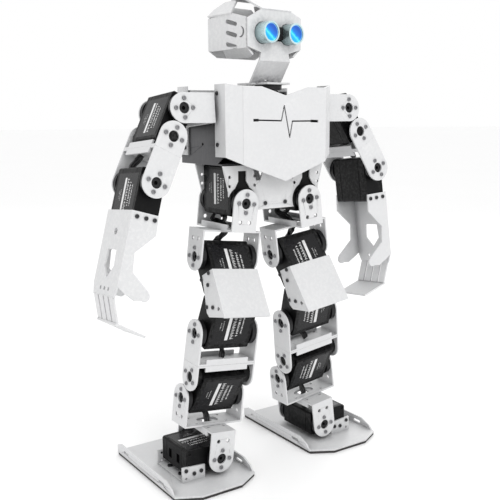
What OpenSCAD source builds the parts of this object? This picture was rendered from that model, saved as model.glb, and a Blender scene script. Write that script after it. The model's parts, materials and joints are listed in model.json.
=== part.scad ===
// Desktop humanoid robot kit: servo-driven legs and arms in folded sheet
// brackets, a folded torso shell, a panning head with a two-can range sensor.
// Units are millimetres, Z up, the robot faces -Y.

/* [Servo] */
// length of the servo case from the output shaft to its near end
case_top = 10; // [9.5:0.1:10.2]
// length of the servo case from the output shaft to its far end
case_bottom = 28.6; // [26:0.2:28.8]
// thickness of the servo case
case_thick = 20.1; // [18:0.1:20.4]
// radius of the output horn disc
horn_r = 10.6; // [9:0.1:10.8]

/* [Sheet metal] */
// sheet thickness
sheet = 1.5; // [1.2:0.1:1.6]
// radius of the rounded ear of every bracket
ear_r = 11.2; // [10.5:0.1:11.2]
// radius of the open centre hole of a bracket ear
ear_hole = 4.2; // [3.8:0.1:4.4]

/* [Head] */
// diameter of an eye can
eye_d = 16; // [14:0.5:17]
// length of an eye can
eye_len = 12; // [9:0.5:13]

/* [Feet] */
// length of the foot plate
foot_len = 113; // [104:1:118]
// height of the turned-up edge of the foot plate
foot_rim = 9; // [5:0.5:11]

/* [Hidden] */
$fn = 48;
eps = 0.02;
half = 25.5;             // centre of a servo to the face of a horn disc
out = half + sheet;      // outer face of a bracket ear
fix = 22.8;              // shaft to the fixed mounting disc
bend = 26;               // bend of the thigh and of the shin
phi1 = [6.8, 0];         // hip roll away from the body
t1 = [-9.5, -4.5];       // hip pitch
t2 = [12, 9];            // knee
sp = [-5, -5];           // shoulder pitch
sr = [26.6, 30.3];       // shoulder roll
el = [9.8, 26.3];        // elbow
pan = 7.5;               // head pan
function reach(i) = 90 + 60 * cos(t1[i]) + 35.5 * cos(t1[i] + t2[i]) + 22.8 * cos(t1[i] + t2[i] + bend);
phi = [phi1[0], acos(cos(phi1[0]) * reach(0) / reach(1))];
sole_h = 17.5;
z_hr = sole_h + cos(phi1[0]) * reach(0);
hip_x = 31;
z_sh = z_hr + 70.6;
y_sh = 8.3;
x_sh = 79;
y_pan = -12.5;
off = [7.51, -14.59, 0];   // puts the origin under the middle of the whole robot

white = [0.93, 0.94, 0.95];
dark = [0.09, 0.09, 0.10];
grey = [0.55, 0.56, 0.58];

// ---- frames of the moving bodies -------------------------------------
module side(i) { if (i == 0) children(); else mirror([1, 0, 0]) children(); }
module at_world() { translate(off) children(); }
module at_torso() { translate(off + [0, 0, 0]) children(); }
module at_hip(i) { at_torso() side(i) translate([-hip_x, 0, z_hr]) rotate([0, phi[i], 0]) children(); }
module at_thigh(i) { at_hip(i) translate([0, 0, -45]) rotate([t1[i], 0, 0]) children(); }
module at_shin(i) { at_thigh(i) translate([0, 0, -60]) rotate([t2[i], 0, 0]) children(); }
module at_shin_servo(i) { at_shin(i) translate([0, 0, -35.5]) rotate([bend, 0, 0]) translate([0, 0, -22.8]) children(); }
module at_ankle(i) { at_shin_servo(i) rotate([-(t1[i] + t2[i] + bend), 0, 0]) children(); }
module at_foot(i) { at_ankle(i) translate([0, 0, -45]) rotate([0, -phi[i], 0]) children(); }
module at_shoulder(i) { at_torso() side(i) translate([-x_sh, y_sh, z_sh]) rotate([sp[i], 0, 0]) children(); }
module at_upper(i) { at_shoulder(i) rotate([0, sr[i], 0]) children(); }
module at_fore(i) { at_upper(i) translate([0, 0, -59.5]) rotate([0, -el[i], 0]) children(); }
module at_head() { at_torso() translate([0, y_pan, z_sh]) rotate([0, 0, pan]) children(); }

// ---- small pieces -----------------------------------------------------
// a cylinder whose axis is Y, from y = a to y = b
module ycyl(r, a, b) { translate([0, b, 0]) rotate([90, 0, 0]) cylinder(r = r, h = b - a); }
module both() { children(); mirror([0, 1, 0]) children(); }
module plus4(r) { for (a = [0 : 90 : 270]) rotate([0, a, 0]) translate([r, 0, 0]) children(); }

// a screw through a sheet whose outer face is y = -f
module screw_at(f) {
  difference() {
    union() {
      ycyl(1.55, -f - 0.9, -f);
      ycyl(0.95, -f - 0.1, -f + 2.6);
    }
    translate([0, -f - 1, 0]) rotate([90, 30, 0]) translate([0, 0, -0.5]) cylinder(r = 0.8, h = 2, $fn = 6);
  }
}

// servo case: shaft along Y at the origin, case towards -Z
module servo_case(fixed = true) {
  w = case_thick / 2; c = 1.2;
  difference() {
    union() {
      rotate([90, 0, 0]) translate([0, 0, -19.75]) linear_extrude(39.5)
        polygon([[-w + c, -case_bottom], [w - c, -case_bottom], [w, -case_bottom + c], [w, case_top - c],
                 [w - c, case_top], [-w + c, case_top], [-w, case_top - c], [-w, -case_bottom + c]]);
      both() ycyl(8, 19.7, 21.2);
      if (fixed) both() translate([0, 0, -fix]) ycyl(8.2, 19.7, half);
    }
    both() ycyl(3.06, 11, 22);
    // joint lines between the three case sections
    both() for (x = [-1, 1]) translate([x * w, 12.2, (case_top - case_bottom) / 2]) cube([0.7, 0.5, 60], center = true);
    both() translate([0, 12.2, -case_bottom]) cube([30, 0.5, 0.7], center = true);
    both() translate([0, 12.2, case_top]) cube([30, 0.5, 0.7], center = true);
    // cable sockets in the far end
    for (y = [-6.5, 6.5]) translate([0, y, -case_bottom + 1]) cube([7.5, 4.6, 2.4], center = true);
    // case screws
    both() for (x = [-7.4, 7.4], z = [-case_bottom + 3, case_top - 3]) translate([x, 0, z]) ycyl(1.3, 19.2, 20);
    // holes of the fixed mount
    if (fixed) both() translate([0, 0, -fix]) plus4(7) ycyl(1.05, 23.8, 26);
  }
}

// horn disc with its shaft, at +Y
module horn() {
  difference() {
    union() { ycyl(horn_r, 21.7, half); ycyl(3.0, 12, 22); }
    plus4(7) ycyl(1.05, 23.8, 26);
    ycyl(1.5, 22, 26);
    rotate([0, 45, 0]) plus4(7) ycyl(0.8, 25, 26);
  }
}
module horn_minus() { mirror([0, 1, 0]) horn(); }
// four screws of a ear whose outer face is at -Y
module ear_screws() { plus4(7) screw_at(out); }
module hub(i) { horn(); horn_minus(); ear_screws(); mirror([0, 1, 0]) ear_screws(); }

// flat ear profile in XZ: round at the shaft, straight to the fold at z = -d
module ear_flat(d, wide = 0) {
  union() {
    circle(r = ear_r);
    polygon([[-ear_r, 0], [ear_r, 0], [ear_r + wide, -d + 6], [ear_r + wide, -d], [-ear_r - wide, -d], [-ear_r - wide, -d + 6]]);
  }
}
module ear_holes() {
  ycyl(ear_hole, 20, 30);
  plus4(7) ycyl(1.05, 20, 30);
}
// U bracket: ears at both ends of Y, fold at z = -d
module u_bracket(d, lip = 5, oval = true, extra = true) {
  difference() {
    union() {
      both() translate([0, out, 0]) rotate([90, 0, 0]) linear_extrude(sheet) ear_flat(d);
      translate([-ear_r, -out, -d]) cube([2 * ear_r, 2 * out, sheet]);
      if (lip > 0) for (x = [-ear_r, ear_r - sheet]) translate([x, -19.5, -d]) cube([sheet, 39, lip]);
    }
    both() ear_holes();
    if (extra) both() for (x = [-4.2, 4.2]) translate([x, 0, -14.6]) ycyl(1.6, 20, 30);
    if (oval) translate([0, 0, -d - 1]) linear_extrude(4) union() { for (y = [-5, 5]) translate([0, y]) circle(r = 4.6); square([9.2, 10], center = true); }
    for (x = [-7.2, 7.2], y = [-14, 14]) translate([x, y, -d - 1]) cylinder(r = 1.25, h = 4);
  }
}
// rivet pair joining two folds that meet at z = 0
module fold_rivets() {
  for (x = [-7.2, 7.2], y = [-14, 14]) translate([x, y, 0]) {
    translate([0, 0, -sheet - 0.9]) cylinder(r = 2.0, h = 0.85);
    translate([0, 0, -sheet - 0.2]) cylinder(r = 1.15, h = 2 * sheet + 0.4);
    translate([0, 0, sheet + 0.05]) cylinder(r = 2.0, h = 0.85);
  }
}

// ---- torso --------------------------------------------------------------
module plate_xz(y, t, pts) { translate([0, y + t, 0]) rotate([90, 0, 0]) linear_extrude(t) polygon(pts); }
module bevel(z0o, z1o, z0i, z1i) {
  // strip from the front fold (-39,-36) to the side fold (-50,-28)
  translate([-50, -28, 0]) rotate([0, 0, -36.03]) translate([0, sheet, 0]) rotate([90, 0, 0]) linear_extrude(sheet)
    polygon([[0, z0o], [13.6, z0i], [13.6, z1i], [0, z1o]]);
}
module pulse(y) {
  h = 0.55;
  translate([0, y, 0]) rotate([90, 0, 0]) translate([0, 0, -3]) linear_extrude(8) union() {
    for (s = [[[-30, 284.2], [-25.6, 284.2], 1.0], [[-26, 284.2], [-4.4, 283.6], h], [[-4.4, 283.6], [-1.6, 295.0], h],
              [[-1.6, 295.0], [3.6, 270.8], h], [[3.6, 270.8], [6.2, 283.2], h], [[6.2, 283.2], [24.6, 283.2], h], [[24.2, 283.2], [31.5, 282.9], 1.0]])
      let (a = s[0], b = s[1], v = b - a, L = norm(v), n = [-v[1], v[0]] / L * s[2], u = v / L * 0.3)
        polygon([a - u - n, b + u - n, b + u + n, a - u + n]);
  }
}
module chest_cover() color(white) at_torso() difference() {
  union() {
    difference() {
      plate_xz(-36, sheet, [[-39.3, 309], [-22.6, 309.2], [0, 302.6], [22.6, 309.2], [39.3, 309], [39.3, 251.2], [0, 237.3], [-39.3, 251.2]]);
      pulse(-36);
    }
    for (m = [0, 1]) mirror([m, 0, 0]) {
      bevel(256.7, 311, 251.1, 309);
      translate([-50, -28, 256.7]) cube([sheet, 15, 54.3]);
    }
  }
  for (z = [266, 304.3]) translate([-60, -16.8, z]) rotate([0, 90, 0]) cylinder(r = 1.05, h = 120);
}
module back_cover() color(white) at_torso() translate([0, 16.6, 0]) mirror([0, 1, 0]) difference() {
  union() {
    plate_xz(-36, sheet, [[-39.3, 309], [39.3, 309], [39.3, 251.2], [-39.3, 251.2]]);
    for (m = [0, 1]) mirror([m, 0, 0]) {
      bevel(256.7, 311, 251.1, 309);
      translate([-50, -28, 256.7]) cube([sheet, 15, 54.3]);
    }
  }
  for (z = [262.6, 304.3]) translate([-60, -16.8, z]) rotate([0, 90, 0]) cylinder(r = 1.05, h = 120);
  // cooling slots and the four mounting holes
  for (x = [-18 : 9 : 18]) translate([x, -36, 290]) rotate([90, 0, 0]) translate([0, 0, -4]) linear_extrude(8) union() { square([3, 14], center = true); for (z = [-7, 7]) translate([0, z]) circle(r = 1.5); }
  for (x = [-15, 15], z = [260, 274]) translate([x, -38, z]) rotate([-90, 0, 0]) cylinder(r = 1.6, h = 6);
}
module torso_frame() color(dark) at_torso() difference() {
  union() {
    // deck over the hip servos
    translate([-48.4, -19.6, 250]) cube([96.8, 62, 1.4]);
    // side plates
    for (m = [0, 1]) mirror([m, 0, 0]) translate([-48.4, 0, 0]) rotate([90, 0, 90]) linear_extrude(1.15)
      polygon([[-24, 258], [-12, 250], [42.4, 250], [42.4, 283], [-8, 283], [-14, 308], [-24, 308]]);
    // rear bridge that carries the upper back screws
    for (m = [0, 1]) mirror([m, 0, 0]) translate([-48.4, 0, 0]) rotate([90, 0, 90]) linear_extrude(1.15)
      polygon([[28, 282.9], [40, 282.9], [40, 308], [28, 308]]);
    // front plate for the head servo
    translate([-30, -24.3, 250]) cube([60, 1.4, 50]);
    translate([-30, -24.3, 250]) cube([60, 6, 1.4]);
  }
  // slots for the tabs of the side plates, cable holes, screw holes
  for (z = [266, 304.3]) translate([-60, -16.8, z]) rotate([0, 90, 0]) cylinder(r = 1.05, h = 120);
  for (z = [262.6, 304.3]) translate([-60, 33.4, z]) rotate([0, 90, 0]) cylinder(r = 1.05, h = 120);
  translate([-60, 8.3, 266]) rotate([0, 90, 0]) cylinder(r = 1.05, h = 120);
  translate([0, 8, 249]) linear_extrude(4) union() { square([16, 12], center = true); }
  for (x = [-17, 17]) translate([x, -26, 270]) rotate([-90, 0, 0]) cylinder(r = 4, h = 6);
}
module pelvis_plates() color(white) at_torso() both() difference() {
  plate_xz(-21.35, sheet, [[-48.6, 249.9], [-43.5, z_hr + 9], [-43.5, z_hr - 3], [-39, z_hr - 6], [39, z_hr - 6], [43.5, z_hr - 3], [43.5, z_hr + 9], [48.6, 249.9],
    [48.6, 249.9], [22, 249.9], [18, z_hr + 17], [14, z_hr + 17], [10, 249.9], [-10, 249.9], [-14, z_hr + 17], [-18, z_hr + 17], [-22, 249.9]]);
  for (s = [-1, 1]) translate([s * hip_x, 0, z_hr]) {
    // clears the hub, with a slot above it that shows the servo
    ycyl(13.6, -30, -10);
    translate([0, -10, 0]) rotate([90, 0, 0]) linear_extrude(20) polygon([[-3.8, 25], [3.8, 25], [3.8, 17], [8.5, 9], [-8.5, 9], [-3.8, 17]]);
    for (q = [[-11.5, 13.5], [-11.5, 20.6], [11.5, 20.6], [11.5, 13.5], [-11.5, 26.6]]) translate([s * q[0], 0, q[1]]) ycyl(1.25, -30, -10);
  }
  for (s = [-1, 1]) translate([s * 9.7, 0, z_hr - 1.3]) ycyl(1.05, -30, -10);
}
module torso_servos() color(dark) at_torso() for (i = [0, 1]) side(i) {
  translate([-27.45, y_sh, z_sh]) rotate([0, 0, 90]) servo_case(false);
  translate([-hip_x, 0, z_hr]) rotate([0, 180, 0]) servo_case(false);
}
module battery_pack() color([0.13, 0.15, 0.20]) at_torso() difference() {
  translate([-33, 21.5, 251.6]) cube([66, 17, 36]);
  for (x = [-11, 11]) translate([x, 21.5, 260]) cube([0.8, 1, 60], center = true);
  for (x = [-33, 33]) translate([x, 30, 269.6]) rotate([0, 45, 0]) cube([1.6, 20, 1.6], center = true);
}
module controller_board() color([0.05, 0.25, 0.16]) at_torso() union() {
  difference() {
    translate([-32, 44.6, 254]) cube([64, 1.6, 44]);
    for (x = [-28.5, 28.5], z = [257.5, 294.5]) translate([x, 40, z]) rotate([-90, 0, 0]) cylinder(r = 1.6, h = 10);
  }
  translate([-10, 43.2, 272]) cube([12, 1.5, 12]);
  for (x = [-24 : 8 : 24]) translate([x - 2.6, 40.6, 287]) cube([5.2, 4.1, 6.5]);
  translate([8, 41.6, 262]) cube([16, 3.1, 8]);
  translate([-26, 46.1, 262]) cube([9, 2.6, 7]);
}
module head_pan_servo() color(dark) at_torso() translate([0, y_pan, z_sh - 5.7]) rotate([0, 0, 90]) rotate([90, 0, 0]) servo_case(false);
module torso_screws() color(grey) at_torso() {
  for (s = [0, 1]) mirror([s, 0, 0]) {
    for (z = [266, 304.3]) translate([-50, -16.8, z]) rotate([0, 0, -90]) screw_at(0);
    for (z = [262.6, 304.3]) translate([-50, 33.4, z]) rotate([0, 0, -90]) screw_at(0);
    both() translate([-9.7, -21.35, z_hr - 1.3]) screw_at(0);
  }
}

// ---- head -----------------------------------------------------------------
module head_face() color(white) at_head() union() {
  difference() {
    union() {
      // face
      plate_xz(-8, sheet, [[-28, 68.5], [-28, 47.5], [-14.5, 43.8], [14.5, 43.8], [28, 47.5], [28, 71.5], [17, 75.9], [-13.5, 75.9]]);
      // chin strip
      plate_xz(-8, sheet, [[-14.5, 44], [-16, 37.6], [16, 37.6], [14.5, 44]]);
      // chin folded back
      translate([0, -8, 37.7]) rotate([-56, 0, 0]) translate([-16, 0, 0]) rotate([90, 0, 90]) linear_extrude(32) polygon([[0, 0], [0, 0], [20.6, 0], [20.6, sheet], [0, sheet]]);
      // neck base
      translate([-16, 0.6, 20.0]) cube([32, 18, sheet]);
      translate([-12, -12, 20.0]) cube([24, 20, sheet]);
    }
    for (x = [-13, 13]) translate([x, 0, 58.2]) ycyl(eye_d / 2 + 0.3, -12, 0);
    translate([-13, -12, 52.8]) cube([26, 8, 10.8]);
    for (a = [0 : 90 : 270]) rotate([0, 0, a]) translate([7, 0, 18]) cylinder(r = 1.05, h = 6);
    translate([0, 0, 18]) cylinder(r = 3.4, h = 6);
  }
  // forehead folded back, then the flat crown
  translate([0, -7.9, 75.0]) rotate([30, 0, 0]) linear_extrude(sheet) polygon([[-13.5, 0], [17, 0], [18, 8], [18, 20.4], [-18, 20.4], [-16, 8]]);
  translate([0, 9.0, 85.0]) linear_extrude(sheet) polygon([[-18, 0], [18, 0], [15, 17], [-15, 17]]);
}
module skull_shell() color(white) at_head() union() {
  for (m = [0, 1]) mirror([m, 0, 0]) {
    difference() {
      translate([-28.6, 0, 0]) rotate([90, 0, 90]) linear_extrude(sheet) polygon([[-6.3, 46.6], [-6.3, 69.2], [9.9, 73.4], [38.6, 71.6], [38.9, 48], [36, 46.4]]);
      for (z = [47.6, 56.2, 64.6]) translate([-30, 10.4, z + 1.6]) rotate([90, 0, 90]) linear_extrude(4) rotate(15) union() { square([10.5, 3.2], center = true); for (x = [-5.2, 5.2]) translate([x, 0]) circle(r = 1.6); }
      translate([-30, -0.6, 58.6]) rotate([90, 0, 90]) linear_extrude(4) difference() { circle(r = 4); translate([1.9, 0.5]) circle(r = 3.9); }
    }
    // top flap folded inward
    translate([-28.6, 0, 72.3]) rotate([0, -39.4, 0]) linear_extrude(sheet) polygon([[0, 9.9], [0, 38.4], [9, 38.4], [18, 33], [18, 19]]);
    // lower flange folded inward
    translate([-28.6, 0, 47.4]) rotate([0, 41, 0]) linear_extrude(sheet) polygon([[0, -6.3], [0, 22], [10, 25], [11.4, 18], [11.4, 0], [9, -6.3]]);
    // tie to the face
    translate([-27.2, -6.48, 55]) cube([2.6, 2.4, 8]);
  }
  // rear panel
  plate_xz(37.4, sheet, [[-28.6, 71], [-28.6, 47], [-20, 42], [20, 42], [28.6, 47], [28.6, 71], [16, 82], [-16, 82]]);
}
module eye_sensor() color([0.07, 0.08, 0.09]) at_head() difference() {
  union() {
    translate([-24, -6.2, 48.5]) cube([48, 1.6, 21]);
    for (x = [-13, 13]) translate([x, 0, 58.2]) ycyl(eye_d / 2, -8 - eye_len + 1.5, -5.5);
    translate([-5.5, -11.4, 53.6]) cube([11, 6, 9.4]);
    translate([-5, -4.8, 49.5]) cube([10, 8, 2.6]);
    translate([-8, -4.8, 56]) cube([16, 1.6, 8]);
  }
  for (x = [-13, 13]) translate([x, 0, 58.2]) ycyl(eye_d / 2 - 1.3, -30, -8 - eye_len + 4.5);
  for (x = [-22.2, 22.2], z = [50.3, 67.7]) translate([x, 0, z]) ycyl(0.9, -8, 0);
}
module eye_lenses() color([0.1, 0.7, 0.95]) at_head() for (x = [-13, 13]) translate([x, 0, 58.2])
  ycyl(eye_d / 2 - 1.35, -8 - eye_len + 2.3, -8 - eye_len + 4.45);

// head servo horn with the screws that hold the neck plate
module head_pan_horn() color(dark) at_head() translate([0, 0, -5.7]) rotate([90, 0, 0]) {
  translate([0, 0.1, 0]) horn();
  mirror([0, 1, 0]) plus4(7) translate([0, -0.3, 0]) screw_at(out);
}

// ---- arms -------------------------------------------------------------------
module part_shoulder_bracket(i) color(white) at_shoulder(i) difference() {
  rotate([0, -90, 0]) mirror([0, 0, 0]) u_bracket(26, 5, false, false);
  // holes for the pitch horn in the fold
  translate([20, 0, 0]) rotate([0, 90, 0]) cylinder(r = ear_hole, h = 10);
  for (a = [0 : 90 : 270]) rotate([a, 0, 0]) translate([20, 0, 7]) rotate([0, 90, 0]) cylinder(r = 1.05, h = 10);
}
module part_shoulder_horns(i) color(dark) {
  at_shoulder(i) {
    hub(i);
    translate([51.55, 0, 0]) rotate([0, 0, 90]) {
      horn();
      plus4(7) mirror([0, 1, 0]) screw_at(out + 0.05);
    }
  }
}
module part_upper_arm_servo(i) color(dark) at_upper(i) servo_case(true);
module fixed_u(df, lip = 5) {
  // bracket that holds a servo by its fixed discs; shaft at the origin
  translate([0, 0, -fix]) difference() {
    union() {
      both() translate([0, out, 0]) rotate([90, 0, 0]) linear_extrude(sheet) ear_flat(df);
      translate([-ear_r, -out, -df]) cube([2 * ear_r, 2 * out, sheet]);
      for (x = [-ear_r, ear_r - sheet]) translate([x, -19.5, -df]) cube([sheet, 39, lip]);
    }
    both() ear_holes();
    for (x = [-7.2, 7.2], y = [-14, 14]) translate([x, y, -df - 1]) cylinder(r = 1.25, h = 4);
    translate([0, 0, -df - 1]) cylinder(r = 4.6, h = 4);
  }
}
module part_upper_arm_bracket(i) color(white) at_upper(i) {
  translate([0, 0, 0.01]) fixed_u(12.2 - 0.01);
  translate([0, 0, -59.5]) mirror([0, 0, 1]) u_bracket(24.48, 5, false, false);
  translate([0, 0, -35.0]) fold_rivets();
}
module part_elbow_horns(i) color(dark) at_upper(i) {
  translate([0, 0, -fix]) { ear_screws(); mirror([0, 1, 0]) ear_screws(); }
  translate([0, 0, -59.5]) hub(i);
}
module part_elbow_servo(i) color(dark) at_fore(i) servo_case(false);
hand_y = 19.85;
module part_hand(i) color(white) at_fore(i) difference() {
  union() {
    // palm on the outer face of the servo
    translate([-10.2 - sheet, 0, 0]) rotate([90, 0, 90]) linear_extrude(sheet) difference() {
      polygon([[-hand_y - sheet, -22.4], [hand_y + sheet, -22.4], [hand_y + sheet, -78], [18, -86.5], [-18, -86.5], [-hand_y - sheet, -78]]);
      polygon([[-7.5, -52], [7.5, -52], [8.5, -64], [0, -73], [-8.5, -64]]);
      translate([0, -38.5]) circle(r = 2.6);
      for (y = [-7, 0, 7]) translate([y, -81]) circle(r = 1.5);
    }
    // front and rear flanges ending in the thumbs
    both() translate([0, hand_y + sheet, 0]) rotate([90, 0, 0]) linear_extrude(sheet) union() {
      polygon([[-10.2 - sheet, -22.4], [9.6, -22.4], [10.6, -37], [-3.5, -52], [-2, -66], [13.6, -78], [10, -85], [3.5, -86], [-7, -81], [-10.2 - sheet, -78]]);
      translate([11.2, -81.6]) circle(r = 4.0);
    }
    // fingers
    for (y = [-13.5, -4.5, 4.5, 13.5]) {
      translate([-10.2 - sheet, y - 3.6, -86.3]) rotate([90, 0, 90]) linear_extrude(sheet) square([7.2, 4]);
      translate([-10.2 - sheet, y - 3.6, -86.2]) rotate([0, -22, 0]) translate([0, 0, -19.5]) cube([sheet, 7.2, 19.9]);
    }
    // hooked tip bar
    translate([-5.2, -17.1, -105.2]) rotate([0, 14, 0]) cube([26, 34.2, sheet]);
  }
  both() for (x = [-7.4, 0, 7]) translate([x, 0, -26.2]) ycyl(1.05, 15, 30);
}
module part_hand_screws(i) color(grey) at_fore(i) both() for (x = [-7.4, 0, 7]) translate([x, 0, -26.2]) screw_cap(hand_y + sheet);
module screw_cap(f) { difference() { union() { ycyl(1.55, -f - 0.9, -f); ycyl(0.95, -f - 0.1, -f + 1.35); } translate([0, -f - 0.4, 0]) rotate([90, 30, 0]) cylinder(r = 0.8, h = 2, $fn = 6); } }

// ---- legs -------------------------------------------------------------------
module part_hip_bracket(i) color(white) at_hip(i) {
  u_bracket(22.5 - 0.01);
  translate([0, 0, -45]) rotate([0, 0, 90]) mirror([0, 0, 1]) u_bracket(22.5 - 0.01, 0);
}
module part_hip_horns(i) color(dark) at_hip(i) { hub(i); translate([0, 0, -45]) rotate([0, 0, 90]) hub(i); translate([0, 0, -22.5]) rotate([0, 0, 0]) fold_pins(); }
module fold_pins() { for (x = [-7.2, 7.2], y = [-7.2, 7.2]) if (false) translate([x, y, 0]) cylinder(r = 1, h = 1); }
// the two thigh servos: the upper leans forward, the lower leans back
module at_thigh_upper(i) { at_thigh(i) rotate([-bend, 0, 0]) rotate([0, 0, 90]) children(); }
module at_thigh_lower(i) { at_thigh(i) translate([0, 0, -60]) rotate([bend, 0, 0]) rotate([0, 0, 90]) mirror([0, 0, 1]) children(); }
module part_thigh_servos(i) color(dark) { at_thigh_upper(i) servo_case(false); at_thigh_lower(i) servo_case(false); }
module thigh_holes() {
  for (q = [[-1.0, -25.4], [-6, -17.5], [6, -17.5]]) translate([q[0], 0, q[1]]) children();
}
module part_thigh_cover(i) color(white) at_thigh_upper(i) difference() {
  union() {
    translate([-10.2 - sheet, -hand_y - sheet, -57.6]) cube([sheet, 2 * (hand_y + sheet), 41]);
    both() translate([0, hand_y + sheet, 0]) rotate([90, 0, 0]) linear_extrude(sheet)
      polygon([[-10.2 - sheet, -16.6], [3.9, -14.8], [10.4, -44], [8.5, -48.5], [-10.2 - sheet, -57.6]]);
  }
  both() thigh_holes() ycyl(1.05, 15, 30);
  both() for (q = [[0, -44], [8, -40.2]]) translate([q[0], 0, q[1]]) ycyl(1.05, 15, 30);
  both() translate([-6.5, 0, -48]) ycyl(1.6, 15, 30);
}
module part_thigh_screws(i) color(grey) at_thigh_upper(i) both() {
  thigh_holes() screw_cap(hand_y + sheet);
  for (q = [[0, -44], [8, -40.2]]) translate([q[0], 0, q[1]]) screw_cap(hand_y + sheet);
}
module part_shin_bracket(i) color(white) at_shin(i) rotate([0, 0, 90]) {
  u_bracket(24 - 0.01, 5, false, false);
  // lower bracket: holds the ankle servo by its fixed discs
  translate([0, 0, -35.5]) mirror([0, 0, 1]) difference() {
    union() {
      both() translate([0, out, 0]) rotate([90, 0, 0]) linear_extrude(sheet) ear_flat(11.5 - 0.01);
      translate([-ear_r, -out, -11.49]) cube([2 * ear_r, 2 * out, sheet]);
      for (x = [-ear_r, ear_r - sheet]) translate([x, -19.5, -11.49]) cube([sheet, 39, 5]);
    }
    both() { ycyl(ear_hole, 20, 30); rotate([0, bend, 0]) plus4(7) ycyl(1.05, 20, 30); }
    translate([0, 0, -14]) cylinder(r = 4.6, h = 5);
  }
}
module part_shin_horns(i) color(dark) at_shin(i) {
  rotate([0, 0, 90]) hub(i);
  translate([0, 0, -35.5]) rotate([bend, 0, 0]) rotate([0, 0, 90]) { ear_screws(); mirror([0, 1, 0]) ear_screws(); }
}
// the case is turned over so that its fixed disc is above the shaft
module part_ankle_pitch_servo(i) color(dark) at_shin_servo(i) rotate([0, 0, 90]) mirror([0, 0, 1]) servo_case(true);
module part_ankle_bracket(i) color(white) at_ankle(i) {
  rotate([0, 0, 90]) u_bracket(22.5 - 0.01, 0);
  translate([0, 0, -45]) mirror([0, 0, 1]) u_bracket(22.5 - 0.01);
}
module part_ankle_horns(i) color(dark) at_ankle(i) { rotate([0, 0, 90]) hub(i); translate([0, 0, -45]) hub(i); }
module part_ankle_roll_servo(i) color(dark) at_foot(i) rotate([0, 90, 0]) servo_case(false);
module part_foot_bracket(i) color(white) at_foot(i) difference() {
  union() {
    translate([-33, -hand_y - sheet, -14]) cube([20.6, 2 * (hand_y + sheet), sheet]);
    both() translate([0, hand_y + sheet, 0]) rotate([90, 0, 0]) linear_extrude(sheet) polygon([[-33, -14], [-12.4, -14], [-12.4, -3.2], [-33, -1.5]]);
  }
  both() for (q = [[-29.6, -11.4], [-29.6, -4.6], [-22.4, -8.4], [-16, -7.6]]) translate([q[0], 0, q[1]]) ycyl(1.05, 15, 30);
  for (x = [-28, -17], y = [-9, 9]) translate([x, y, -15]) cylinder(r = 1.25, h = 4);
}
module foot_outline(inset = 0) {
  h = foot_len - 48;
  polygon([[-49 + inset, -38], [-30, -48 + inset], [6, -48 + inset], [25 - inset, -37], [25 - inset, h - inset], [-49 + inset, h - inset]]);
}
module part_foot_plate(i) color(white) at_foot(i) difference() {
  union() {
    translate([0, 0, -15.5]) linear_extrude(sheet) foot_outline();
    // turned-up edges
    for (x = [-49, 25 - sheet]) translate([x, 0, 0]) rotate([90, 0, 90]) linear_extrude(sheet)
      polygon([[-37, -15.5], [foot_len - 48, -15.5], [foot_len - 48, -15.5 + foot_rim * 0.75], [foot_len - 54, -15.5 + foot_rim], [-22, -15.5 + foot_rim], [-32, -15.5 + foot_rim * 0.6]]);
  }
  for (y = [-16, 48]) translate([-60, y, -11.2]) rotate([90, 0, 90]) linear_extrude(100) union() { square([7, 2.4], center = true); for (q = [-3.5, 3.5]) translate([q, 0]) circle(r = 1.2); }
  for (x = [-28, -17], y = [-9, 9]) translate([x, y, -17]) cylinder(r = 1.25, h = 4);
}
module part_foot_sole(i) color(dark) at_foot(i) translate([0, 0, -sole_h]) linear_extrude(1.98) foot_outline(0.4);
module part_foot_screws(i) color(grey) at_foot(i) {
  both() for (q = [[-29.6, -4.6], [-22.4, -8.4], [-16, -7.6]]) translate([q[0], 0, q[1]]) screw_cap(hand_y + sheet);
  for (x = [-28, -17], y = [-9, 9]) translate([x, y, -12.5]) { cylinder(r = 2.0, h = 1.0); translate([0, 0, -2.95]) cylinder(r = 1.15, h = 3); }
}

module right_shoulder_bracket() { part_shoulder_bracket(0); }
module right_shoulder_horns() { part_shoulder_horns(0); }
module right_upper_arm_servo() { part_upper_arm_servo(0); }
module right_upper_arm_bracket() { part_upper_arm_bracket(0); }
module right_elbow_horns() { part_elbow_horns(0); }
module right_elbow_servo() { part_elbow_servo(0); }
module right_hand() { part_hand(0); }
module right_hand_screws() { part_hand_screws(0); }
module right_hip_bracket() { part_hip_bracket(0); }
module right_hip_horns() { part_hip_horns(0); }
module right_thigh_servos() { part_thigh_servos(0); }
module right_thigh_cover() { part_thigh_cover(0); }
module right_thigh_screws() { part_thigh_screws(0); }
module right_shin_bracket() { part_shin_bracket(0); }
module right_shin_horns() { part_shin_horns(0); }
module right_ankle_pitch_servo() { part_ankle_pitch_servo(0); }
module right_ankle_bracket() { part_ankle_bracket(0); }
module right_ankle_horns() { part_ankle_horns(0); }
module right_ankle_roll_servo() { part_ankle_roll_servo(0); }
module right_foot_bracket() { part_foot_bracket(0); }
module right_foot_plate() { part_foot_plate(0); }
module right_foot_sole() { part_foot_sole(0); }
module right_foot_screws() { part_foot_screws(0); }
module left_shoulder_bracket() { part_shoulder_bracket(1); }
module left_shoulder_horns() { part_shoulder_horns(1); }
module left_upper_arm_servo() { part_upper_arm_servo(1); }
module left_upper_arm_bracket() { part_upper_arm_bracket(1); }
module left_elbow_horns() { part_elbow_horns(1); }
module left_elbow_servo() { part_elbow_servo(1); }
module left_hand() { part_hand(1); }
module left_hand_screws() { part_hand_screws(1); }
module left_hip_bracket() { part_hip_bracket(1); }
module left_hip_horns() { part_hip_horns(1); }
module left_thigh_servos() { part_thigh_servos(1); }
module left_thigh_cover() { part_thigh_cover(1); }
module left_thigh_screws() { part_thigh_screws(1); }
module left_shin_bracket() { part_shin_bracket(1); }
module left_shin_horns() { part_shin_horns(1); }
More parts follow.
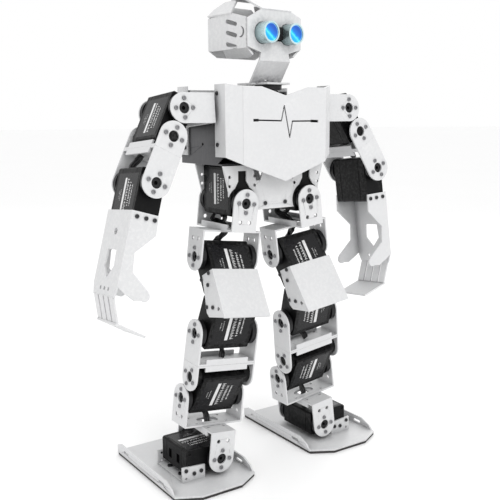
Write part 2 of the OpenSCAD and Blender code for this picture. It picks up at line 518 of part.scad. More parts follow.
module left_ankle_pitch_servo() { part_ankle_pitch_servo(1); }
module left_ankle_bracket() { part_ankle_bracket(1); }
module left_ankle_horns() { part_ankle_horns(1); }
module left_ankle_roll_servo() { part_ankle_roll_servo(1); }
module left_foot_bracket() { part_foot_bracket(1); }
module left_foot_plate() { part_foot_plate(1); }
module left_foot_sole() { part_foot_sole(1); }
module left_foot_screws() { part_foot_screws(1); }

chest_cover();
back_cover();
torso_frame();
pelvis_plates();
torso_servos();
battery_pack();
controller_board();
head_pan_servo();
torso_screws();
head_face();
skull_shell();
eye_sensor();
eye_lenses();
head_pan_horn();
right_shoulder_bracket();
right_shoulder_horns();
right_upper_arm_servo();
right_upper_arm_bracket();
right_elbow_horns();
right_elbow_servo();
right_hand();
right_hand_screws();
right_hip_bracket();
right_hip_horns();
right_thigh_servos();
right_thigh_cover();
right_thigh_screws();
right_shin_bracket();
right_shin_horns();
right_ankle_pitch_servo();
right_ankle_bracket();
right_ankle_horns();
right_ankle_roll_servo();
right_foot_bracket();
right_foot_plate();
right_foot_sole();
right_foot_screws();
left_shoulder_bracket();
left_shoulder_horns();
left_upper_arm_servo();
left_upper_arm_bracket();
left_elbow_horns();
left_elbow_servo();
left_hand();
left_hand_screws();
left_hip_bracket();
left_hip_horns();
left_thigh_servos();
left_thigh_cover();
left_thigh_screws();
left_shin_bracket();
left_shin_horns();
left_ankle_pitch_servo();
left_ankle_bracket();
left_ankle_horns();
left_ankle_roll_servo();
left_foot_bracket();
left_foot_plate();
left_foot_sole();
left_foot_screws();
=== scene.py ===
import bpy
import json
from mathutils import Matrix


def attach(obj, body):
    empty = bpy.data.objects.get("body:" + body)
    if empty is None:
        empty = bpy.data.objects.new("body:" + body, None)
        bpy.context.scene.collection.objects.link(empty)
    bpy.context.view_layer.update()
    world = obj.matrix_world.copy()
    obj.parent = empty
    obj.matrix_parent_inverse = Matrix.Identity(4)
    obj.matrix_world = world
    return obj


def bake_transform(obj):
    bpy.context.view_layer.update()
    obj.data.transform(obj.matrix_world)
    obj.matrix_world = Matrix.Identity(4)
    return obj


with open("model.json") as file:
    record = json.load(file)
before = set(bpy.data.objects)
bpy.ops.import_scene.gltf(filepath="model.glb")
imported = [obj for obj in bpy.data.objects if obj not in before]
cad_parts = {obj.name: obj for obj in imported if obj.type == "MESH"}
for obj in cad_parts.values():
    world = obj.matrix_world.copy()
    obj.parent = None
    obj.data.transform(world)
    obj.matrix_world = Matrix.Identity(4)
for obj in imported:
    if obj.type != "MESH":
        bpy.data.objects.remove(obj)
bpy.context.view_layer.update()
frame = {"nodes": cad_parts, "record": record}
import json, math, random
import bpy, bmesh
from mathutils import Matrix, Vector

random.seed(7)
NODES, REC = frame["nodes"], frame["record"]
MM = 0.001
SCN = bpy.context.scene

# ---------------------------------------------------------------- stance
OFF = Vector((7.51, -14.59, 0.0))
BEND = 26.0
T1, T2 = (-9.5, -4.5), (12.0, 9.0)
SP, SR, EL = (-5.0, -5.0), (26.6, 30.3), (9.8, 26.3)
PAN = 7.5


def c_(a):
    return math.cos(math.radians(a))


def reach(i):
    return 90 + 60 * c_(T1[i]) + 35.5 * c_(T1[i] + T2[i]) + 22.8 * c_(T1[i] + T2[i] + BEND)


PHI = (6.8, math.degrees(math.acos(c_(6.8) * reach(0) / reach(1))))
Z_HR = 17.5 + c_(6.8) * reach(0)
Z_SH = Z_HR + 70.6


def T(x, y, z):
    return Matrix.Translation((x, y, z))


def R(a, axis):
    return Matrix.Rotation(math.radians(a), 4, axis)


def mirror(i):
    return Matrix.Diagonal((-1 if i else 1, 1, 1, 1))


W = T(*OFF)


def m_hip(i):
    return W @ mirror(i) @ T(-31, 0, Z_HR) @ R(PHI[i], "Y")


def m_thigh(i):
    return m_hip(i) @ T(0, 0, -45) @ R(T1[i], "X")


def m_shin(i):
    return m_thigh(i) @ T(0, 0, -60) @ R(T2[i], "X")


def m_shinservo(i):
    return m_shin(i) @ T(0, 0, -35.5) @ R(BEND, "X") @ T(0, 0, -22.8)


def m_ankle(i):
    return m_shinservo(i) @ R(-(T1[i] + T2[i] + BEND), "X")


def m_foot(i):
    return m_ankle(i) @ T(0, 0, -45) @ R(-PHI[i], "Y")


def m_shoulder(i):
    return W @ mirror(i) @ T(-79, 8.3, Z_SH) @ R(SP[i], "X")


def m_upper(i):
    return m_shoulder(i) @ R(SR[i], "Y")


def m_fore(i):
    return m_upper(i) @ T(0, 0, -59.5) @ R(-EL[i], "Y")


M_HEAD = W @ T(0, -12.5, Z_SH) @ R(PAN, "Z")
SIDE = ("right", "left")


# ------------------------------------------------------------- materials
class Mat:
    """Small helper for a node material."""

    def __init__(self, name):
        self.m = bpy.data.materials.new(name)
        self.m.use_nodes = True
        self.t = self.m.node_tree
        self.b = self.t.nodes["Principled BSDF"]
        self.co = self.t.nodes.new("ShaderNodeTexCoord").outputs["Object"]

    def n(self, kind, **kw):
        node = self.t.nodes.new(kind)
        for k, v in kw.items():
            if k in node.inputs:
                node.inputs[k].default_value = v
            else:
                setattr(node, k, v)
        return node

    def link(self, a, b):
        self.t.links.new(a, b)

    def noise(self, scale, detail=3.0, rough=0.55, co=None):
        n = self.n("ShaderNodeTexNoise", Scale=scale, Detail=detail, Roughness=rough)
        self.link(co or self.co, n.inputs["Vector"])
        return n.outputs["Fac"]

    def ramp(self, fac, stops):
        n = self.n("ShaderNodeValToRGB")
        e = n.color_ramp.elements
        e[0].position, e[0].color = stops[0][0], stops[0][1]
        e[1].position, e[1].color = stops[-1][0], stops[-1][1]
        for p, c in stops[1:-1]:
            x = e.new(p)
            x.color = c
        self.link(fac, n.inputs["Fac"])
        return n.outputs["Color"]

    def mix(self, fac, a, b, mode="MIX"):
        n = self.t.nodes.new("ShaderNodeMix")
        n.data_type = "RGBA"
        n.blend_type = mode
        for sock, v in ((0, fac), (6, a), (7, b)):
            if hasattr(v, "node"):
                self.link(v, n.inputs[sock])
            else:
                n.inputs[sock].default_value = v
        return n.outputs[2]

    def math(self, op, a, b=0.0, clamp=False):
        n = self.t.nodes.new("ShaderNodeMath")
        n.operation = op
        n.use_clamp = clamp
        for k, v in enumerate((a, b)):
            if hasattr(v, "node"):
                self.link(v, n.inputs[k])
            else:
                n.inputs[k].default_value = v
        return n.outputs[0]

    def bump(self, height, strength, dist, under=None):
        n = self.n("ShaderNodeBump", Strength=strength, Distance=dist)
        self.link(height, n.inputs["Height"])
        if under is not None:
            self.link(under, n.inputs["Normal"])
        return n.outputs["Normal"]

    def color(self, v):
        self.link(v, self.b.inputs["Base Color"])

    def rough(self, v):
        self.link(v, self.b.inputs["Roughness"])

    def normal(self, v):
        self.link(v, self.b.inputs["Normal"])


def g(v, a=1.0):
    return (v[0], v[1], v[2], a)


def ao_painted_shade(m, dist, dark, base):
    """Painted shade: darkens the colour where surfaces meet, by ambient occlusion."""
    ao = m.n("ShaderNodeAmbientOcclusion", Distance=dist)
    ao.samples = 12
    f = m.math("POWER", ao.outputs["AO"], 1.4)
    return m.mix(f, dark, base)


def edge_wear_and_highlight(m, base, worn_and_lit_edge, amount):
    """Thin broken marks where an edge is exposed: rub marks, and a painted highlight that lightens the edge."""
    geo = m.t.nodes.new("ShaderNodeNewGeometry")
    e = m.ramp(geo.outputs["Pointiness"], [(0.50, g((0, 0, 0))), (0.58, g((1, 1, 1)))])
    brk = m.ramp(m.noise(380, 4, 0.65), [(0.45, g((0, 0, 0))), (0.62, g((1, 1, 1)))])
    f = m.mix(1.0, e, brk, "MULTIPLY")
    sep = m.t.nodes.new("ShaderNodeRGBToBW")
    m.link(f, sep.inputs[0])
    return m.mix(m.math("MULTIPLY", sep.outputs[0], amount), base, worn_and_lit_edge)


def white_coat():
    m = Mat("white_powder_coat")
    big = m.noise(26, 3, 0.5)
    base = m.mix(big, g((0.585, 0.588, 0.597)), g((0.635, 0.638, 0.643)))
    specks = m.ramp(m.noise(900, 2, 0.6), [(0.0, g((0.9, 0.9, 0.9))), (0.68, g((1, 1, 1))), (0.78, g((0.86, 0.86, 0.86)))])
    base = m.mix(0.35, base, specks, "MULTIPLY")
    # painted shade: ambient occlusion darkens the white coat towards grey 0.27 in corners and joins
    base = ao_painted_shade(m, 0.007, g((0.27, 0.272, 0.28)), base)
    # rub marks and a painted edge highlight: exposed edges lightened towards 0.70
    base = edge_wear_and_highlight(m, base, g((0.70, 0.70, 0.70)), 0.5)
    m.color(base)
    m.rough(m.ramp(m.noise(60, 4, 0.6), [(0.25, g((0.36, 0.36, 0.36))), (0.8, g((0.52, 0.52, 0.52)))]))
    orange = m.noise(1500, 2, 0.5)
    wave = m.noise(220, 2, 0.5)
    n1 = m.bump(wave, 0.10, 0.0004)
    m.normal(m.bump(orange, 0.22, 0.00012, n1))
    m.b.inputs["Specular IOR Level"].default_value = 0.45
    m.b.inputs["Coat Weight"].default_value = 0.08
    m.b.inputs["Coat Roughness"].default_value = 0.25
    return m.m


def black_case():
    m = Mat("servo_case_plastic")
    base = m.mix(m.noise(40, 4, 0.6), g((0.0018, 0.0018, 0.002)), g((0.005, 0.005, 0.0055)))
    dust = m.ramp(m.noise(420, 5, 0.7), [(0.0, g((0, 0, 0))), (0.62, g((0, 0, 0))), (0.8, g((0.018, 0.018, 0.019)))])
    base = m.mix(0.6, base, dust, "ADD")
    # rub marks and a painted edge highlight: exposed edges lightened towards 0.05
    base = edge_wear_and_highlight(m, base, g((0.05, 0.05, 0.05)), 0.5)
    m.color(base)
    m.rough(m.ramp(m.noise(90, 4, 0.6), [(0.2, g((0.34, 0.34, 0.34))), (0.85, g((0.55, 0.55, 0.55)))]))
    grain = m.noise(2600, 2, 0.5)
    wave = m.noise(150, 2, 0.5)
    m.normal(m.bump(grain, 0.35, 0.00010, m.bump(wave, 0.08, 0.0004)))
    m.b.inputs["Specular IOR Level"].default_value = 0.14
    return m.m


def black_horn():
    m = Mat("servo_horn")
    base = m.mix(m.noise(120, 4, 0.6), g((0.005, 0.005, 0.006)), g((0.014, 0.014, 0.015)))
    m.color(base)
    m.b.inputs["Specular IOR Level"].default_value = 0.3
    m.rough(m.ramp(m.noise(160, 3, 0.6), [(0.2, g((0.25, 0.25, 0.25))), (0.85, g((0.45, 0.45, 0.45)))]))
    m.normal(m.bump(m.noise(1800, 2, 0.5), 0.25, 0.0001))
    return m.m


def black_frame():
    m = Mat("black_powder_coat")
    base = m.mix(m.noise(50, 3, 0.6), g((0.006, 0.006, 0.007)), g((0.014, 0.014, 0.015)))
    m.color(base)
    m.b.inputs["Specular IOR Level"].default_value = 0.25
    m.rough(m.ramp(m.noise(120, 3, 0.6), [(0.2, g((0.40, 0.40, 0.40))), (0.85, g((0.6, 0.6, 0.6)))]))
    m.normal(m.bump(m.noise(1500, 2, 0.5), 0.3, 0.00012))
    return m.m


def screw_steel():
    m = Mat("screw_steel")
    base = m.mix(m.noise(300, 4, 0.6), g((0.16, 0.16, 0.17)), g((0.34, 0.34, 0.35)))
    m.color(base)
    m.b.inputs["Metallic"].default_value = 0.9
    m.rough(m.ramp(m.noise(500, 3, 0.6), [(0.2, g((0.25, 0.25, 0.25))), (0.85, g((0.45, 0.45, 0.45)))]))
    m.normal(m.bump(m.noise(2500, 2, 0.5), 0.2, 0.00005))
    return m.m


def dark_screw():
    m = Mat("screw_blackened")
    m.color(m.mix(m.noise(300, 4, 0.6), g((0.03, 0.03, 0.032)), g((0.09, 0.09, 0.093))))
    m.b.inputs["Metallic"].default_value = 0.85
    m.rough(m.ramp(m.noise(500, 3, 0.6), [(0.2, g((0.28, 0.28, 0.28))), (0.85, g((0.48, 0.48, 0.48)))]))
    m.normal(m.bump(m.noise(2500, 2, 0.5), 0.2, 0.00005))
    return m.m


def satin_plate():
    """Inner side plates: dark satin metal with fine vertical grain."""
    m = Mat("satin_plate")
    mp = m.n("ShaderNodeMapping")
    mp.inputs["Scale"].default_value = (1.0, 1.0, 0.06)
    m.link(m.co, mp.inputs["Vector"])
    grain = m.noise(1800, 3, 0.6, mp.outputs["Vector"])
    base = m.mix(grain, g((0.06, 0.06, 0.064)), g((0.14, 0.14, 0.145)))
    # painted shade: ambient occlusion darkens the plate towards near black where parts meet
    m.color(ao_painted_shade(m, 0.012, g((0.02, 0.02, 0.02)), base))
    m.b.inputs["Metallic"].default_value = 0.8
    m.rough(m.ramp(grain, [(0.2, g((0.26, 0.26, 0.26))), (0.85, g((0.40, 0.40, 0.40)))]))
    m.normal(m.bump(grain, 0.15, 0.00008))
    return m.m


def sole_rubber():
    m = Mat("sole_rubber")
    base = m.mix(m.noise(80, 4, 0.6), g((0.015, 0.013, 0.013)), g((0.035, 0.03, 0.03)))
    m.color(base)
    m.rough(m.ramp(m.noise(200, 3, 0.6), [(0.2, g((0.65, 0.65, 0.65))), (0.85, g((0.85, 0.85, 0.85)))]))
    m.normal(m.bump(m.noise(1400, 3, 0.6), 0.5, 0.0002))
    return m.m


def battery():
    m = Mat("battery_wrap")
    base = m.mix(m.noise(60, 4, 0.6), g((0.01, 0.02, 0.06)), g((0.02, 0.035, 0.09)))
    m.color(base)
    m.rough(m.ramp(m.noise(200, 3, 0.6), [(0.2, g((0.2, 0.2, 0.2))), (0.85, g((0.35, 0.35, 0.35)))]))
    m.normal(m.bump(m.noise(180, 3, 0.6), 0.3, 0.0004))
    return m.m


def board():
    m = Mat("solder_mask")
    br = m.n("ShaderNodeTexVoronoi", Scale=320.0)
    br.feature = "DISTANCE_TO_EDGE"
    m.link(m.co, br.inputs["Vector"])
    tr = m.ramp(br.outputs["Distance"], [(0.0, g((0.10, 0.30, 0.16))), (0.06, g((0.015, 0.10, 0.05))), (1.0, g((0.01, 0.08, 0.04)))])
    m.color(tr)
    m.rough(m.ramp(m.noise(200, 3, 0.6), [(0.2, g((0.25, 0.25, 0.25))), (0.85, g((0.4, 0.4, 0.4)))]))
    m.normal(m.bump(br.outputs["Distance"], 0.2, 0.0002))
    return m.m


WHITE, CASE, HORN, FRAME = white_coat(), black_case(), black_horn(), black_frame()
DARKSCREW, SATIN = dark_screw(), satin_plate()
STEEL, SOLE, BATT, BOARD = screw_steel(), sole_rubber(), battery(), board()


def label_white():
    m = Mat("label_print")
    base = m.mix(m.noise(500, 3, 0.6), g((0.62, 0.62, 0.62)), g((0.82, 0.82, 0.82)))
    m.color(base)
    m.rough(m.ramp(m.noise(700, 3, 0.6), [(0.2, g((0.4, 0.4, 0.4))), (0.85, g((0.6, 0.6, 0.6)))]))
    m.normal(m.bump(m.noise(1800, 2, 0.5), 0.2, 0.00005))
    return m.m


def label_film():
    m = Mat("label_film")
    base = m.mix(m.noise(300, 3, 0.6), g((0.004, 0.004, 0.005)), g((0.008, 0.008, 0.009)))
    m.color(base)
    m.b.inputs["Specular IOR Level"].default_value = 0.25
    m.rough(m.ramp(m.noise(160, 3, 0.6), [(0.2, g((0.22, 0.22, 0.22))), (0.85, g((0.36, 0.36, 0.36)))]))
    m.normal(m.bump(m.noise(240, 2, 0.5), 0.12, 0.0002))
    return m.m


def wire_black():
    m = Mat("wire_sleeve")
    base = m.mix(m.noise(200, 3, 0.6), g((0.008, 0.008, 0.009)), g((0.02, 0.02, 0.021)))
    m.color(base)
    m.rough(m.ramp(m.noise(300, 3, 0.6), [(0.2, g((0.35, 0.35, 0.35))), (0.85, g((0.5, 0.5, 0.5)))]))
    m.normal(m.bump(m.noise(900, 2, 0.5), 0.25, 0.0001))
    return m.m


PRINT, FILM, WIRE = label_white(), label_film(), wire_black()


def eye_glow():
    """Lit sensor face: deep blue with a pale cyan crescent at the lower left, bright rim."""
    m = Mat("eye_glow")
    inv = M_HEAD.inverted()
    mp = m.n("ShaderNodeMapping")
    mp.vector_type = "POINT"
    # world metres -> head millimetres (pan only)
    mp.inputs["Rotation"].default_value = (0, 0, -math.radians(PAN))
    org = M_HEAD.to_translation()
    ang = -math.radians(PAN)
    rx = org.x * math.cos(ang) - org.y * math.sin(ang)
    ry = org.x * math.sin(ang) + org.y * math.cos(ang)
    mp.inputs["Location"].default_value = (-rx, -ry, -org.z)
    mp.inputs["Scale"].default_value = (1000, 1000, 1000)
    m.link(m.co, mp.inputs["Vector"])
    sep = m.n("ShaderNodeSeparateXYZ")
    m.link(mp.outputs["Vector"], sep.inputs[0])
    x = m.math("SUBTRACT", m.math("ABSOLUTE", sep.outputs["X"]), 0.0)
    # centre of the nearer eye
    s = m.math("SIGN", sep.outputs["X"])
    u = m.math("SUBTRACT", sep.outputs["X"], m.math("MULTIPLY", s, 13.0))
    v = m.math("SUBTRACT", sep.outputs["Z"], 58.2)
    r = m.math("SQRT", m.math("ADD", m.math("MULTIPLY", u, u), m.math("MULTIPLY", v, v)))
    # diagonal split, lower left pale
    dsp = m.math("ADD", m.math("MULTIPLY", u, -0.62), m.math("MULTIPLY", v, -0.78))
    wob = m.math("MULTIPLY", m.math("SUBTRACT", m.noise(500, 2, 0.5), 0.5), 1.6)
    dsp = m.math("ADD", dsp, wob)
    cy = m.ramp(m.math("ADD", m.math("MULTIPLY", dsp, 0.08), 0.5),
                [(0.20, g((0.0, 0.085, 0.52))), (0.50, g((0.0, 0.20, 0.78))), (0.60, g((0.0, 0.50, 0.95))), (0.66, g((0.10, 0.85, 0.98))), (0.80, g((0.0, 0.45, 0.90)))])
    rim = m.ramp(m.math("MULTIPLY", r, 0.1), [(0.60, g((0, 0, 0))), (0.68, g((0.45, 1.0, 1.0)))])
    col = m.mix(1.0, cy, rim, "ADD")
    grid = m.n("ShaderNodeTexVoronoi", Scale=1.6)
    m.link(mp.outputs["Vector"], grid.inputs["Vector"])
    m.color(m.mix(0.2, g((0.0, 0.01, 0.03)), cy))
    m.link(col, m.b.inputs["Emission Color"])
    m.b.inputs["Emission Strength"].default_value = 0.85
    m.b.inputs["Roughness"].default_value = 0.12
    m.rough(m.ramp(m.noise(300, 2, 0.5), [(0.3, g((0.08, 0.08, 0.08))), (0.8, g((0.2, 0.2, 0.2)))]))
    m.normal(m.bump(grid.outputs["Distance"], 0.15, 0.0003))
    return m.m


GLOW = eye_glow()


def can_metal():
    m = Mat("sensor_can")
    # painted shade: ambient occlusion darkens the sleeves towards near black where they meet the board and each
    # other
    m.color(ao_painted_shade(m, 0.022, g((0.01, 0.012, 0.014)), m.mix(m.noise(120, 3, 0.6), g((0.50, 0.68, 0.70)), g((0.68, 0.84, 0.86)))))
    m.b.inputs["Metallic"].default_value = 0.75
    m.rough(m.ramp(m.noise(400, 3, 0.6), [(0.2, g((0.22, 0.22, 0.22))), (0.85, g((0.38, 0.38, 0.38)))]))
    m.normal(m.bump(m.noise(1500, 2, 0.5), 0.15, 0.00005))
    return m.m


CAN = can_metal()

BY_SLOT = {
    "white_coat": WHITE, "servo_black": CASE, "frame_black": FRAME, "screw_steel": STEEL,
    "sole_rubber": SOLE, "battery_wrap": BATT, "circuit_board": BOARD, "sensor_black": FRAME, "eye_lens": GLOW,
}
SLOT = {p["node"]: p["material_slot"] for p in REC["subparts"]}
NO_BEVEL = set()
for name, ob in NODES.items():
    mat = BY_SLOT[SLOT[name]]
    if name.endswith("_horns") or name.endswith("_horn"):
        mat = HORN
    if name.endswith("_screws"):
        mat = DARKSCREW
    if name == "torso_frame":
        mat = SATIN
    if not ob.material_slots:
        ob.data.materials.append(mat)
    for s in ob.material_slots:
        s.material = mat
    # rounded edges, with flat shading on every face
    w = ob.modifiers.new("weld", "WELD")
    w.merge_threshold = 1e-6
    bv = ob.modifiers.new("soft_edge", "BEVEL")
    bv.width = 0.00022 if ("cover" in name or "bracket" in name or "hand" in name or "plate" in name or "head" in name or "skull" in name) else 0.00030
    if SLOT[name] in ("screw_steel",) or name.endswith("_horns"):
        bv.width = 0.00012
    bv.segments = 2
    bv.limit_method = "ANGLE"
    bv.angle_limit = math.radians(35)
    bv.use_clamp_overlap = True
    bv.harden_normals = False
    for p in ob.data.polygons:
        p.use_smooth = False


def islands(me):
    """Lists of polygon indices, one per loose solid."""
    up = list(range(len(me.vertices)))

    def root(a):
        while up[a] != a:
            up[a] = up[up[a]]
            a = up[a]
        return a
    key = {}
    for v in me.vertices:
        k = tuple(round(c * 1e6) for c in v.co)
        if k in key:
            up[root(v.index)] = root(key[k])
        else:
            key[k] = v.index
    for p in me.polygons:
        vs = list(p.vertices)
        for a in vs[1:]:
            up[root(a)] = root(vs[0])
    out = {}
    for p in me.polygons:
        out.setdefault(root(p.vertices[0]), []).append(p.index)
    return list(out.values())


# the screws of the hub groups are bare steel, the discs stay black
for name, ob in NODES.items():
    if not (name.endswith("_horns") or name.endswith("_horn")):
        continue
    me = ob.data
    me.materials.append(STEEL)
    for grp in islands(me):
        pts = [me.vertices[v].co for k in grp for v in me.polygons[k].vertices]
        lo = [min(q[a] for q in pts) for a in range(3)]
        hi = [max(q[a] for q in pts) for a in range(3)]
        if math.dist(lo, hi) < 0.009:
            for k in grp:
                me.polygons[k].material_index = len(me.materials) - 1

# the two sensor cans are bright sleeves on a black board
cans = NODES["eye_sensor"]
cans.data.materials.append(CAN)
inv_head = M_HEAD.inverted()
for p in cans.data.polygons:
    q = inv_head @ ((cans.matrix_world @ p.center) * 1000)
    r_ = math.hypot(abs(q.x) - 13.0, q.z - 58.2)
    if q.y < -10.2 and r_ < 8.6 and not (abs(q.x) < 5.6 and q.y > -11.6):
        p.material_index = len(cans.data.materials) - 1


# --------------------------------------------------------------- pieces
def mesh_piece(name, verts, faces, mat, body, matrix=None, smooth=False):
    me = bpy.data.meshes.new(name)
    if matrix is not None:
        verts = [matrix @ Vector(v) for v in verts]
    me.from_pydata([tuple(Vector(v) * MM) for v in verts], [], faces)
    me.validate()
    bm = bmesh.new()
    bm.from_mesh(me)
    bmesh.ops.recalc_face_normals(bm, faces=bm.faces)
    bm.to_mesh(me)
    bm.free()
    ob = bpy.data.objects.new(name, me)
    SCN.collection.objects.link(ob)
    me.materials.append(mat)
    for p in me.polygons:
        p.use_smooth = smooth
    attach(ob, body)
    return ob


def boxes(parts):
    """Verts and faces of several boxes (lo, hi)."""
    v, f = [], []
    for lo, hi in parts:
        k = len(v)
        v += [(x, y, z) for x in (lo[0], hi[0]) for y in (lo[1], hi[1]) for z in (lo[2], hi[2])]
        f += [[k + a for a in q] for q in ((0, 1, 3, 2), (4, 6, 7, 5), (0, 4, 5, 1), (2, 3, 7, 6), (0, 2, 6, 4), (1, 5, 7, 3))]
    return v, f


def label(name, body, matrix, flip=1):
    """A servo's printed label on its -X face: film, one bar, rows of plain dashes."""
    x0 = -10.05
    film = boxes([((x0 - 0.05, -16.5, -25.5), (x0 + 0.02, 16.5, 5.5))])
    mesh_piece(name + "_film", *film, FILM, body, matrix)
    rnd = random.Random(3)
    parts = [((x0 - 0.09, 1.6, -22.5), (x0 - 0.04, 4.4, 2.0))]

    def row(y0, y1, z0, z1, wmin, wmax, gap):
        z = z0
        while z < z1:
            # each mark is a few plain strokes, none of them a letter
            w = min(rnd.uniform(wmin, wmax), z1 - z)
            st = min(0.42, w * 0.4)
            h = y1 - y0
            kind = rnd.randrange(4)
            parts.append(((x0 - 0.09, y0, z), (x0 - 0.04, y1, z + st)))
            if kind != 0 and w > 0.8:
                parts.append(((x0 - 0.09, y0 if kind == 2 else y0 + h * 0.5, z + w - st), (x0 - 0.04, y1, z + w)))
            if w > 0.8:
                parts.append(((x0 - 0.09, y0 + h * 0.4, z + st), (x0 - 0.04, y0 + h * 0.4 + st, z + w - st)))
            z += w + gap
    row(-3.1, -0.2, -22.0, 1.2, 1.4, 2.4, 0.7)
    row(-7.0, -5.0, -19.0, -1.0, 0.8, 1.6, 0.6)
    row(-10.2, -9.0, -19.0, -3.0, 0.6, 1.1, 0.5)
    row(8.0, 9.0, -15.0, -6.0, 0.5, 0.9, 0.5)
    row(10.4, 11.2, -13.5, -7.5, 0.5, 0.9, 0.5)
    mesh_piece(name + "_print", *boxes(parts), PRINT, body, matrix)


for i, s in enumerate(SIDE):
    S90 = R(90, "Z")
    flipz = Matrix.Diagonal((1, 1, -1, 1))
    label(f"{s}_hip_pitch_label", f"{s}_thigh", m_thigh(i) @ R(-BEND, "X") @ S90)
    label(f"{s}_knee_label", f"{s}_thigh", m_thigh(i) @ T(0, 0, -60) @ R(BEND, "X") @ S90 @ flipz)
    label(f"{s}_ankle_label", f"{s}_shin", m_shinservo(i) @ S90 @ flipz)
    label(f"{s}_roll_label", f"{s}_foot", m_foot(i) @ R(90, "Y"))
    label(f"{s}_upper_arm_label", f"{s}_upper_arm", m_upper(i))
    label(f"{s}_elbow_label", f"{s}_forearm", m_fore(i))
    label(f"{s}_hip_roll_label", "torso", W @ mirror(i) @ T(-31, 0, Z_HR) @ R(180, "Y") @ Matrix.Diagonal((-1, 1, 1, 1)))

# ---------------------------------------------------------------- leads
def smooth_path(pts, n=9):
    """Catmull-Rom points through pts."""
    P = [Vector(q) for q in pts]
    P = [P[0] * 2 - P[1]] + P + [P[-1] * 2 - P[-2]]
    out = []
    for k in range(1, len(P) - 2):
        a, b, c, d = P[k - 1], P[k], P[k + 1], P[k + 2]
        for j in range(n):
            t = j / n
            out.append(0.5 * ((2 * b) + (c - a) * t + (2 * a - 5 * b + 4 * c - d) * t * t + (3 * b - a - 3 * c + d) * t ** 3))
    return out + [P[-2]]


def lead(name, pts, bodies, r=0.95, gap=1.75):
    """Three thin wires side by side along pts (world mm)."""
    path = smooth_path(pts)
    v, f = [], []
    for w_ in (-1, 0, 1):
        base0 = len(v)
        for k, q in enumerate(path):
            t = (path[min(k + 1, len(path) - 1)] - path[max(k - 1, 0)]).normalized()
            side = t.cross(Vector((0, 1, 0))) if abs(t.y) < 0.8 else t.cross(Vector((1, 0, 0)))
            side.normalize()
            nrm = side.cross(t).normalized()
            sway = 0.35 * math.sin(k * 0.45 + w_ * 1.7)
            o = q + side * (w_ * gap) + nrm * sway
            for a in range(8):
                th = a * math.pi / 4
                v.append(o + side * (r * math.cos(th)) + nrm * (r * math.sin(th)))
        m_ = len(path)
        for k in range(m_ - 1):
            for a in range(8):
                b = (a + 1) % 8
                f.append([base0 + k * 8 + a, base0 + k * 8 + b, base0 + (k + 1) * 8 + b, base0 + (k + 1) * 8 + a])
        f.append([base0 + a for a in range(8)][::-1])
        f.append([base0 + (m_ - 1) * 8 + a for a in range(8)])
    me = bpy.data.meshes.new(name)
    me.from_pydata([tuple(q * MM) for q in v], [], f)
    me.validate()
    ob = bpy.data.objects.new(name, me)
    SCN.collection.objects.link(ob)
    me.materials.append(WIRE)
    for p in me.polygons:
        p.use_smooth = True
    if len(bodies) == 1:
        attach(ob, bodies[0])
    else:
        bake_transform(ob)


def at(M, *pts):
    return [M @ Vector(q) for q in pts]


for i, s in enumerate(SIDE):
    # hip: down from behind the roll servo, through the bracket's slot, to the pitch servo
    hip, thigh, shin, ankle = m_hip(i), m_thigh(i), m_shin(i), m_ankle(i)
    roll0 = W @ mirror(i) @ T(-31, 0, Z_HR)
    lead(f"{s}_hip_lead_upper", at(roll0, (3, 14, -10.6), (4, 12, -14.5)) + at(hip, (2, 6, -17.5), (0, 2, -22.0)), ("torso", f"{s}_hip"))
    lead(f"{s}_hip_lead_lower", at(hip, (0, 2, -22.0), (-1, 0, -26.0)) + at(thigh @ R(-BEND, "X"), (-3, 6, 14.5), (-3, 9, 9.6)), (f"{s}_hip", f"{s}_thigh"))
    lead(f"{s}_hip_lead_loop", at(roll0, (-7, 10, -10.6), (-6, 14, -15.0), (0, 15, -17.5)) + at(hip, (3, 8, -18.5), (1, 3, -22.0)), ("torso", f"{s}_hip"), 0.7, 1.3)
    # elbow: a short loop under the bracket's fold
    lead(f"{s}_elbow_lead", at(m_upper(i), (-4, 7, -37.7), (-4.5, 9, -42.0)) + at(m_fore(i), (-4.5, 9.5, 12.5), (-4, 8, 9.8)), (f"{s}_upper_arm", f"{s}_forearm"))
    # knee: from the lower thigh servo to the shin servo
    lead(f"{s}_knee_lead", at(thigh @ T(0, 0, -60) @ R(BEND, "X"), (4, 6, -9.8), (4, 4, -14.0)) + at(shin, (2, 1, -17.5), (1, 0, -21.4)), (f"{s}_thigh", f"{s}_shin"))
    # ankle: from the pitch servo down through the bracket's slot
    lead(f"{s}_ankle_lead_upper", at(ankle, (-2, 3, -9.9), (-1, 4, -14.0), (0, 2, -18.0), (0, 0, -22.3)), (f"{s}_shin", f"{s}_ankle"))
    lead(f"{s}_ankle_lead_lower", at(ankle, (0, 0, -22.3), (0, 2, -27.0)) + at(m_foot(i), (-3, 5, 12.0), (-6, 6, 9.8)), (f"{s}_ankle", f"{s}_foot"))

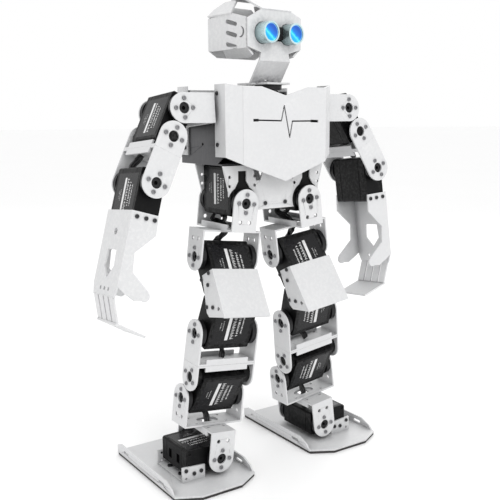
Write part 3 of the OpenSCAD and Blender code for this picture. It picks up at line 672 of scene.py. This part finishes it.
# --------------------------------------------------------------- stage
bpy.ops.mesh.primitive_plane_add(size=120, location=(0, 0, -0.0003))
floor = bpy.context.object
floor.name = "floor"
fm = Mat("floor_paper")
fm.color(fm.mix(fm.noise(3, 2, 0.5), g((0.965, 0.965, 0.965)), g((0.98, 0.98, 0.98))))
fm.b.inputs["Roughness"].default_value = 0.9
fm.rough(fm.ramp(fm.noise(8, 2, 0.5), [(0.2, g((0.85, 0.85, 0.85))), (0.85, g((0.95, 0.95, 0.95)))]))
floor.data.materials.append(fm.m)

w = bpy.data.worlds.new("studio")
SCN.world = w
w.use_nodes = True
w.node_tree.nodes["Background"].inputs[0].default_value = (1, 1, 1, 1)
w.node_tree.nodes["Background"].inputs[1].default_value = 1.0


def area(name, loc, target, size, power, col=(1, 1, 1)):
    li = bpy.data.lights.new(name, "AREA")
    li.shape = "RECTANGLE"
    li.size, li.size_y = size
    li.energy = power
    li.color = col
    ob = bpy.data.objects.new(name, li)
    SCN.collection.objects.link(ob)
    ob.location = loc
    ob.rotation_euler = (Vector(target) - Vector(loc)).to_track_quat("-Z", "Y").to_euler()


area("key", (-0.1, -1.1, 1.1), (0, 0, 0.2), (0.8, 0.8), 6)
area("fill", (-1.3, -0.5, 0.5), (0, 0, 0.2), (0.8, 1.0), 1.5)
area("rim", (1.0, 0.8, 0.9), (0, 0, 0.2), (0.6, 1.0), 3)

# --------------------------------------------------------------- camera
az, el, roll, f = -0.5913929424, 0.1709577534, -0.0078424442, 769.97
back = Vector((math.sin(az) * math.cos(el), -math.cos(az) * math.cos(el), math.sin(el)))
right = (-back).cross(Vector((0, 0, 1))).normalized()
up = right.cross(-back)
cr, sr = math.cos(roll), math.sin(roll)
r2 = right * cr + up * sr
u2 = -right * sr + up * cr
cam = bpy.data.cameras.new("camera")
cam.sensor_width = 36
cam.lens = 36 * f / 500
cam.clip_start = 0.05
cam.clip_end = 20
co = bpy.data.objects.new("camera", cam)
SCN.collection.objects.link(co)
loc = (Vector((-357.85, -517.81, 286.56)) + OFF) * MM
co.matrix_world = Matrix(((r2.x, u2.x, back.x, loc.x), (r2.y, u2.y, back.y, loc.y), (r2.z, u2.z, back.z, loc.z), (0, 0, 0, 1)))
SCN.camera = co
SCN.view_settings.view_transform = "Standard"
SCN.view_settings.look = "None"
SCN.view_settings.exposure = 0.0
